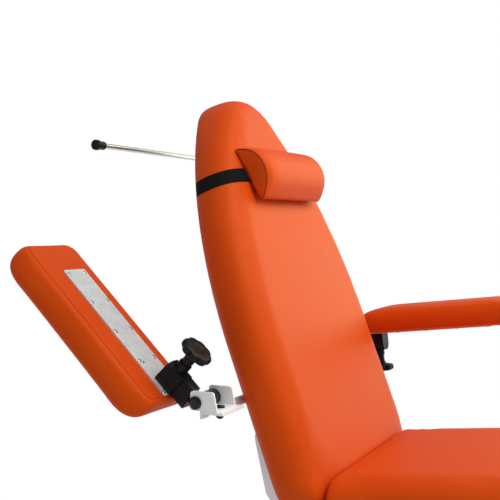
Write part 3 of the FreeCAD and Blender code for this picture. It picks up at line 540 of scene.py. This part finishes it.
def upholster(loop_at, profile, voxel, crown, held, limit, pressure):
    """A cushion in its own frame: blank, even mesh, crown, plumping and a smooth cover."""
    pad = pad_blank(loop_at, profile)
    apply_modifier(pad, "REMESH", mode="VOXEL", voxel_size=voxel)
    for vert in pad.data.vertices:
        vert.co.z += swell(vert.co, **crown)
    plump(pad, held, limit, pressure)
    apply_modifier(pad, "SMOOTH", factor=0.5, iterations=3)
    apply_modifier(pad, "SUBSURF", levels=1, render_levels=1)
    return pad


def deliver(pad, name, matrix, body, node):
    """Hands over a finished cushion in place of its plain solid."""
    settle(pad, name, matrix, body, "orange_vinyl", angle=SMOOTH_ALL_OVER)
    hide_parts(node)


def make_backrest():
    """The backrest, its edge a round that stands furthest out at half the thickness."""
    rear_rim, crease_cover = -0.09, -0.012
    crown = {"low": -0.02, "high": 0.0, "middle": (0, 0.34), "half": (0.27, 0.46), "amount": 0.003}
    # Level, then how far the outline is drawn in there and how far its top is raised
    profile = ((-0.0936, (0.0150, 0.0140)), (-0.0920, (0.0060, 0.0100)),
               (-0.0880, (-0.0015, 0.0051)), (-0.0809, (-0.0090, -0.0012)),
               (-0.0715, (-0.0147, -0.0075)), (-0.0605, (-0.0183, -0.0123)),
               (-0.0487, (-0.0195, -0.0147)), (-0.0369, (-0.0183, -0.0153)),
               (-0.0260, (-0.0147, -0.0149)), (-0.0165, (-0.0090, -0.0140)),
               (-0.0093, (-0.0015, -0.0111)), (-0.0045, (0.0072, -0.0068)),
               (-0.0015, (0.0165, -0.0020)), (0.0015, (0.0275, -0.0010)),
               (0.0040, (0.0430, -0.0010)))
    pad = upholster(back_loop, profile, voxel=0.0065, crown=crown,
                    held=lambda p: p.z < rear_rim or p.y < crease_cover,
                    limit=0.0015, pressure=2.0)
    deliver(pad, "backrest_pad", BACK, "back", "back_cushion")
    return pad


def make_seat():
    """The seat, round at its front corners and nearly square where it meets the backrest."""
    front, rear, half, draw_in = -0.488, -0.0065, 0.280, 0.004
    front_corner, front_corner_least, rear_corner, rear_lean = 0.062, 0.020, 0.012, 0.06
    underside, crease_cover = -0.096, -0.03
    crown = {"low": -0.02, "high": 0.0, "middle": (0, -0.24), "half": (0.26, 0.245),
             "amount": 0.0028}

    def loop_at(inset):
        ahead, behind = front + inset, rear - inset * rear_lean
        return rounded_loop(half - inset, (behind - ahead) / 2,
                            max(front_corner - inset, front_corner_least), draw_in,
                            (0, (ahead + behind) / 2), rear_corner)

    # Level, then how far the outline is drawn in there
    profile = ((-0.0996, 0.008), (-0.092, 0.002), (-0.080, 0.0), (-0.052, 0.0), (-0.040, 0.003),
               (-0.029, 0.0075), (-0.019, 0.0155), (-0.010, 0.027), (-0.0045, 0.041),
               (-0.0015, 0.056))
    pad = upholster(loop_at, profile, voxel=0.0065, crown=crown,
                    held=lambda p: p.z < underside or p.y > crease_cover,
                    limit=0.002, pressure=2.0)
    deliver(pad, "seat_pad", SEAT, "chassis", "seat_cushion")


def make_leg_rest():
    """The leg rest's cushion."""
    top, bottom, half, draw_in = -0.045, -0.375, 0.220, 0.003
    corner, corner_least, underside = 0.046, 0.014, 0.063
    middle = (0, (top + bottom) / 2)
    crown = {"low": 0.10, "high": 0.12, "middle": middle, "half": (0.21, 0.155), "amount": 0.004}

    def loop_at(inset):
        return rounded_loop(half - inset, (top - bottom) / 2 - inset,
                            max(corner - inset, corner_least), draw_in, middle)

    # Level, then how far the outline is drawn in there
    profile = ((0.0602, 0.0065), (0.066, 0.002), (0.074, 0.001), (0.090, 0.001), (0.098, 0.003),
               (0.108, 0.009), (0.116, 0.019), (0.121, 0.033), (0.123, 0.046))
    pad = upholster(loop_at, profile, voxel=0.007, crown=crown,
                    held=lambda p: p.z < underside,
                    limit=0.003, pressure=2.0)
    deliver(pad, "leg_rest_pad", LEG, "leg", "leg_cushion")


# The armrest's pad in its own frame, and the panel, plate and knob below it
PAD_LOW, PAD_HIGH, PAD_X = 0.038, 0.098, 0.413
PAD_REAR, PAD_LENGTH, PAD_WIDTH = 0.042, 0.404, 0.168
PAD_SHIFT, PAD_DRAW_IN = 0.0012, 0.0005
PAD_CORNER, PAD_CORNER_LEAST, PAD_CORNER_TIGHTENING = 0.027, 0.006, 0.3
PANEL_THICK, PANEL_CORNER = 0.0016, 0.022
PLATE_X, PLATE_THICK = 0.3955, 0.003
KNOB_X, KNOB_Y = 0.395, -0.070


def arm_loop(side, form, corner=PAD_CORNER):
    """The armrest's outline, drawn in at its outer edge, its inner edge and its ends."""
    outer, inner, end = form
    middle = (side * (PAD_X - (outer - inner) / 2), -PAD_REAR - PAD_LENGTH / 2 + PAD_SHIFT)
    half = (PAD_WIDTH - outer - inner) / 2
    radius = max(corner - max(outer, inner) * PAD_CORNER_TIGHTENING, PAD_CORNER_LEAST)
    return rounded_loop(half, PAD_LENGTH / 2 - end, radius, PAD_DRAW_IN, middle)


def make_arm_pad(name, side):
    """An armrest's pad, its outer side leaning in towards the underside."""
    low, high = PAD_LOW + PANEL_THICK, PAD_HIGH
    seam = low + 0.002
    crown = {"low": high - 0.02, "high": high - 0.004, "half": (0.075, 0.19), "amount": 0.001,
             "middle": (side * PAD_X, -PAD_REAR - PAD_LENGTH / 2)}
    # Level, then how far the outline is drawn in there at outer edge, inner edge and ends
    profile = ((low, (0.0215, 0.0035, 0.0085)), (low + 0.0015, (0.0190, 0.0005, 0.0045)),
               (low + 0.004, (0.0168, -0.0015, 0.0014)), (low + 0.008, (0.0142, -0.0026, -0.0006)),
               (low + 0.013, (0.0112, -0.0030, -0.0010)),
               (low + 0.020, (0.0074, -0.0030, -0.0008)),
               (high - 0.028, (0.0032, -0.0028, 0.0)), (high - 0.018, (-0.0006, -0.0016, 0.005)),
               (high - 0.011, (0.0006, 0.0008, 0.012)), (high - 0.006, (0.0034, 0.004, 0.022)),
               (high - 0.0025, (0.008, 0.009, 0.034)), (high - 0.0008, (0.013, 0.014, 0.048)),
               (high, (0.021, 0.022, 0.066)))
    pad = upholster(lambda form: arm_loop(side, form), profile, voxel=0.0045, crown=crown,
                    held=lambda p: p.z < seam,
                    limit=0.0015, pressure=1.5)
    deliver(pad, "arm_rest_pad_" + name, ARM[name], "pad_" + name, "arm_pad_" + name)


def make_arm_panel(name, side):
    """Vinyl panel that closes the underside of the pad, its rim rolled into the seam."""
    form = (0.0255, 0.0095, 0.0105)
    top, wall, rolled, face = PAD_LOW + 0.0022, 0.0012, PAD_LOW + 0.0002, PAD_LOW + 0.0001
    loop = arm_loop(side, form, PANEL_CORNER)
    panel = start_disc(len(loop))
    shape_face(panel, loop, top)
    bpy.ops.mesh.extrude_region_move(TRANSFORM_OT_translate={"value": (0, 0, -wall)})
    for width, height in ((0.0008, rolled), (0.002, face)):
        bpy.ops.mesh.inset(thickness=width, depth=0.0)
        mesh = bmesh.from_edit_mesh(panel.data)
        for vert in [v for f in mesh.faces if f.select for v in f.verts]:
            vert.co.z = height
        bmesh.update_edit_mesh(panel.data)
    turn_outwards()
    settle(panel, "arm_rest_panel_" + name, ARM[name], "pad_" + name, "orange_vinyl", angle=60.0)


# The head pillow and its band: places along the backrest (s) and out from its front (n)
PILLOW_HALF, PILLOW_S, PILLOW_N, PILLOW_SAG = 0.150, 0.616, 0.0080, -0.0025
PILLOW_SEAM = PILLOW_HALF - 0.0012
PILLOW_WELTS = {"right": (0.6160, 0.0608, 0.0438), "left": (0.6190, 0.0616, 0.0520)}
PILLOW_FRONT_STEPS, PILLOW_REAR_STEPS, PILLOW_SOFTENING = 40, 32, 4
BAND_LOW, BAND_HIGH, BAND_MARGIN = 0.600, 0.632, 0.004
LAY_REACH, LAY_GAP, LAY_GAP_ON_BAND, LAY_LIFT = 0.040, 0.0008, 0.0026, 0.18
PROBE_HEIGHT = 0.2


def pillow_loop(form):
    """The pillow's section, a round segment flat at the back: points across (s) and out (n)."""
    middle, half, depth = form
    radius = (half ** 2 + depth ** 2) / (2 * depth)
    centre = PILLOW_N + depth - radius
    edge = math.degrees(math.atan2(PILLOW_N - centre, half))
    loop = arc((middle, centre), radius, edge, 180 - edge, PILLOW_FRONT_STEPS)
    loop += [(middle - half + 2 * half * step / PILLOW_REAR_STEPS, PILLOW_N)
             for step in range(PILLOW_REAR_STEPS)]
    for _ in range(PILLOW_SOFTENING):
        before, after = loop[-1:] + loop[:-1], loop[1:] + loop[:1]
        loop = [((a[0] + 2 * b[0] + c[0]) / 4, (a[1] + 2 * b[1] + c[1]) / 4)
                for a, b, c in zip(before, loop, after)]
    return loop


class Rest:
    """The backrest's cover as the pillow and its band lie on it."""

    def __init__(self, cushion):
        self.tree = BVHTree.FromObject(cushion, bpy.context.evaluated_depsgraph_get())
        self.outward = BACK.to_3x3() @ Vector((0, 0, 1))

    def height(self, x, s):
        """How far the cover stands out at a point of the backrest's front."""
        above = BACK @ Vector((x, s, PROBE_HEIGHT))
        hit = self.tree.ray_cast(above, -self.outward)[0]
        return (BACK.inverted() @ hit).z if hit else PILLOW_N

    def lay(self, point):
        """Moves a point of the pillow's flat back onto the cover, and points further out less.

        The lower edge is held off the cover, more so the lower it is.
        """
        near = max(0.0, 1.0 - (point.z - PILLOW_N) / LAY_REACH)
        on_band = BAND_LOW - BAND_MARGIN < point.y < BAND_HIGH + BAND_MARGIN
        gap = LAY_GAP_ON_BAND if on_band else LAY_GAP
        lift = max(0.0, PILLOW_S - point.y) * LAY_LIFT
        drop = max(self.height(point.x, point.y) + gap + lift, PILLOW_SAG) - PILLOW_N
        point.z += drop * near * near * (3 - 2 * near)


def make_pillow(rest):
    """The head pillow, a little fuller at its left end, laid on the backrest."""
    half = PILLOW_HALF
    # Place along the pillow, then the section's middle, half width and depth there
    levels = ((-half, (0.6160, 0.0598, 0.0412)), (-PILLOW_SEAM, PILLOW_WELTS["right"]),
              (-half + 0.005, (0.6160, 0.0615, 0.0475)), (-half + 0.016, (0.6160, 0.0618, 0.0518)),
              (-half + 0.040, (0.6165, 0.0618, 0.0545)), (half - 0.040, (0.6185, 0.0626, 0.0562)),
              (half - 0.016, (0.6190, 0.0632, 0.0562)), (half - 0.005, (0.6190, 0.0628, 0.0548)),
              (PILLOW_SEAM, PILLOW_WELTS["left"]), (half, (0.6190, 0.0604, 0.0495)))
    pillow = pad_blank(pillow_loop, levels)
    across_out_along = Matrix(((0, 0, 1, 0), (1, 0, 0, 0), (0, 1, 0, 0), (0, 0, 0, 1)))
    pillow.data.transform(across_out_along)
    apply_modifier(pillow, "REMESH", mode="VOXEL", voxel_size=0.0036)
    flat_back, ends = PILLOW_N + 0.002, half - 0.002
    plump(pillow, held=lambda p: p.z < flat_back or abs(p.x) > ends, limit=0.0015, pressure=2.5)
    apply_modifier(pillow, "SMOOTH", factor=0.5, iterations=2)
    for vert in pillow.data.vertices:
        rest.lay(vert.co)
    apply_modifier(pillow, "SUBSURF", levels=1, render_levels=1)
    deliver(pillow, "head_roll", BACK, "back", "head_pillow")


# Seams, screws and other trim
def draw_welt(points, radius):
    """A thin closed welt along a ring of points: a bevelled curve made a mesh."""
    clear_selection()
    bpy.ops.curve.primitive_bezier_circle_add(radius=BLANK_RADIUS)
    curve = bpy.context.object.data
    curve.splines.clear()
    spline = curve.splines.new("POLY")
    spline.points.add(len(points) - 1)
    for point, place in zip(spline.points, points):
        point.co = (*place, 1.0)
    spline.use_cyclic_u = True
    curve.bevel_depth = radius
    curve.bevel_resolution = 2
    curve.use_fill_caps = False
    bpy.ops.object.convert(target="MESH")
    return bpy.context.object


def make_pillow_welts(rest):
    """Stitched edge round each end of the pillow, in the orange vinyl darkened: painted shade along
    the seam.
    """
    for side_name, side in SIDES:
        points = [Vector((side * PILLOW_SEAM, s, n))
                  for s, n in pillow_loop(PILLOW_WELTS[side_name])]
        for point in points:
            rest.lay(point)
        welt = draw_welt(points, radius=0.0009)
        settle(welt, "head_roll_seam_" + side_name, BACK, "back", "orange_vinyl", PAINTED_SEAM_SHADE,
               angle=SMOOTH_ALL_OVER)


def make_screw(radius, tall):
    """One pan-head screw, head down: its rim rounded and a recess sunk in its face."""
    rounding, land, recess, taper = 0.0009, 0.0013, 0.0008, 0.0002
    facing_down, rim_strip = -0.9, 1e-6
    clear_selection()
    bpy.ops.mesh.primitive_cylinder_add(vertices=24, radius=radius, depth=tall, location=(0, 0, 0))
    screw = bpy.context.object
    bpy.ops.object.mode_set(mode="EDIT")
    bpy.ops.mesh.select_mode(type="FACE")
    select_faces(screw, lambda face: face.normal.z < facing_down)
    bpy.ops.mesh.bevel(offset=rounding, segments=3, affect="EDGES")
    select_faces(screw, lambda face: face.normal.z < facing_down and face.calc_area() > rim_strip)
    bpy.ops.mesh.inset(thickness=land, depth=0.0)
    bpy.ops.mesh.inset(thickness=taper, depth=-recess)
    bpy.ops.mesh.select_mode(type="VERT")
    bpy.ops.object.mode_set(mode="OBJECT")
    return screw


def make_plate_screws(name, side):
    """Screws along both edges of the armrest's plate, and one more at its rear corner."""
    radius, tall, half_gauge = 0.0042, 0.0016, 0.0245
    row, rear_corner = (-0.356, -0.2815, -0.206, -0.133), (0.424, -0.057)
    places = [(PLATE_X + edge * half_gauge, y) for y in row for edge in (-1, 1)] + [rear_corner]
    screw = make_screw(radius, tall)
    copies = []
    for x, y in places:
        copy = screw.copy()
        copy.data = screw.data.copy()
        scene.collection.objects.link(copy)
        under_plate = (side * x, y, PAD_LOW - PLATE_THICK - tall / 2)
        copy.data.transform(Matrix.Translation(under_plate))
        copies.append(copy)
    bpy.data.objects.remove(screw)
    clear_selection()
    for copy in copies:
        copy.select_set(True)
    bpy.context.view_layer.objects.active = copies[0]
    bpy.ops.object.join()
    settle(bpy.context.object, "plate_screws_" + name, ARM[name], "pad_" + name, "zinc_steel",
           BRIGHT_SCREW)


KNOB_LOBES, KNOB_STEPS, LOBE_ROUNDNESS = 8, 112, 0.7


def lobed_loop(form):
    """Outline of the hand knob: round lobes with hollows of the given depth between them."""
    radius, hollow = form
    points = []
    for step in range(KNOB_STEPS):
        turn = 2 * math.pi * step / KNOB_STEPS
        fullness = abs(math.sin(KNOB_LOBES / 2 * turn)) ** LOBE_ROUNDNESS
        reach = radius - hollow * (1 - fullness)
        points.append((reach * math.cos(turn), reach * math.sin(turn)))
    return points


def make_knob(name, side):
    """Moulded hand knob: dished below, with soft lobes, a flared neck and its stem."""
    # Level, then the radius there and the depth of the hollows between the lobes
    levels = ((-0.0604, (0.0085, 0.0)), (-0.0608, (0.0110, 0.0)), (-0.0619, (0.0128, 0.0)),
              (-0.0620, (0.0150, 0.0)), (-0.0620, (0.0225, 0.0006)), (-0.0617, (0.0258, 0.0015)),
              (-0.0608, (0.0288, 0.0028)), (-0.0590, (0.0309, 0.0042)), (-0.0565, (0.0318, 0.0052)),
              (-0.0520, (0.0320, 0.0056)), (-0.0492, (0.0314, 0.0052)), (-0.0474, (0.0298, 0.0040)),
              (-0.0464, (0.0272, 0.0024)), (-0.0460, (0.0235, 0.0008)), (-0.0455, (0.0172, 0.0)),
              (-0.0430, (0.0148, 0.0)), (-0.0395, (0.0124, 0.0)), (-0.0360, (0.0112, 0.0)),
              (-0.0240, (0.0110, 0.0)), (-0.0228, (0.0107, 0.0)), (-0.0224, (0.0098, 0.0)))
    knob = pad_blank(lobed_loop, levels)
    knob.data.transform(Matrix.Translation((side * KNOB_X, KNOB_Y, 0)))
    settle(knob, "hand_knob_" + name, ARM[name], "knob_" + name, "black_plastic", angle=50.0)
    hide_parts("arm_knob_" + name)


def make_strap(rest):
    """Elastic band laid round the backrest on its cover, passing under the pillow."""
    thick, gap, steps, rows = 0.0014, 0.0009, 120, 6
    core, reach, start_out = -0.041, 0.30, 1.6
    inside = BACK.to_3x3()
    clear_selection()
    bpy.ops.mesh.primitive_grid_add(x_subdivisions=steps, y_subdivisions=rows, size=1.0)
    band = bpy.context.object
    for vert in band.data.vertices:
        turn = 2 * math.pi * (vert.co.x + 0.5)
        s = BAND_LOW + (BAND_HIGH - BAND_LOW) * (vert.co.y + 0.5)
        axis = BACK @ Vector((0, s, core))
        out = inside @ Vector((math.sin(turn) * reach, 0, math.cos(turn) * reach))
        place, normal, _, _ = rest.tree.ray_cast(axis + out * start_out, -out.normalized())
        vert.co = BACK.inverted() @ place + inside.transposed() @ normal * gap
    apply_modifier(band, "WELD", merge_threshold=0.0005)
    apply_modifier(band, "SMOOTH", factor=0.4, iterations=3)
    apply_modifier(band, "SOLIDIFY", thickness=thick, offset=1.0)
    settle(band, "pillow_band", BACK, "back", "black_elastic", angle=50.0)
    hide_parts("pillow_strap")


# Light, floor and camera
WHITE = rgb(1, 1, 1)


def aim(piece, direction):
    """Turns a lamp or the camera to look along a direction."""
    piece.rotation_euler = direction.to_track_quat("-Z", "Y").to_euler()


def make_world():
    """Soft light from all round, and plain white where the camera looks past the chair."""
    sky_tint, sky_strength = rgb(0.97, 0.98, 1.0), 0.43
    world = bpy.data.worlds.new("studio")
    scene.world = world
    world.use_nodes = True
    sky = Wiring(world.node_tree)
    seen = sky.rays("Is Camera Ray", "Is Transmission Ray")
    soft = sky.node("ShaderNodeBackground", {}, {"Color": sky_tint, "Strength": sky_strength})
    white = sky.node("ShaderNodeBackground", {}, {"Color": WHITE, "Strength": 1.0})
    mix = sky.node("ShaderNodeMixShader", {}, {"Fac": seen, 1: soft, 2: white})
    sky.add("ShaderNodeOutputWorld", {}, {"Surface": mix})


def make_floor():
    """A pale floor that takes the shadow near the chair and fades to white further out."""
    floor_radius, just_below = 14.0, -0.0005
    fade_start, fade_end = 1.0, 1.55
    clear_selection()
    bpy.ops.mesh.primitive_circle_add(vertices=96, radius=floor_radius, fill_type="NGON",
                                      location=(0, 0, just_below))
    floor = bpy.context.object
    floor.name = "studio_floor"
    finish = Finish("pale floor")
    finish.set(Base_Color=rgb(0.86, 0.86, 0.86), Roughness=0.7)
    away = finish.node("ShaderNodeVectorMath", {"operation": "LENGTH"}, {0: finish.place()},
                       "Value")
    glow = finish.node("ShaderNodeEmission", {}, {"Color": WHITE, "Strength": 1.0})
    seen_far = (finish.rays("Is Camera Ray", "Is Glossy Ray")
                * finish.step(away, fade_start, fade_end))
    blend = finish.node("ShaderNodeMixShader", {}, {"Fac": seen_far, 1: finish.surface, 2: glow})
    finish.feed(finish.output.inputs["Surface"], blend)
    floor.data.materials.append(finish.material)


def make_lamp(name, place, target, size, power, tint):
    """A square lamp panel that faces its target."""
    clear_selection()
    bpy.ops.object.light_add(type="AREA", location=place)
    lamp = bpy.context.object
    lamp.name = name
    lamp.data.shape = "RECTANGLE"
    lamp.data.size = lamp.data.size_y = size
    lamp.data.energy = power
    lamp.data.color = tint
    aim(lamp, Vector(target) - Vector(place))


def make_camera():
    """The camera, looking across the right armrest and slightly down."""
    place, yaw, pitch = (-1.791, -0.390, 1.016), math.radians(26.58), math.radians(1.44)
    clear_selection()
    bpy.ops.object.camera_add(location=place)
    camera = bpy.context.object
    aim(camera, Vector((math.cos(yaw) * math.cos(pitch), math.sin(yaw) * math.cos(pitch),
                        -math.sin(pitch))))
    camera.data.sensor_width = 36.0
    camera.data.lens = 64.2
    camera.data.clip_end = 100.0
    scene.camera = camera
    scene.view_settings.view_transform = "Standard"


make_world()
make_floor()
make_lamp("key", place=(-0.15, -1.45, 3.25), target=(0, 0.3, 0.8), size=2.2, power=69.0,
          tint=(1.0, 0.99, 0.97))
make_lamp("far_side", place=(2.6, -1.0, 1.9), target=(0, 0.3, 0.9), size=2.4, power=44.0,
          tint=(1.0, 0.95, 0.60))
make_camera()
backrest = Rest(make_backrest())
make_seat()
make_leg_rest()
make_pillow(backrest)
make_pillow_welts(backrest)
make_strap(backrest)
for side_name, side_sign in SIDES:
    make_arm_pad(side_name, side_sign)
    make_arm_panel(side_name, side_sign)
    make_plate_screws(side_name, side_sign)
    make_knob(side_name, side_sign)
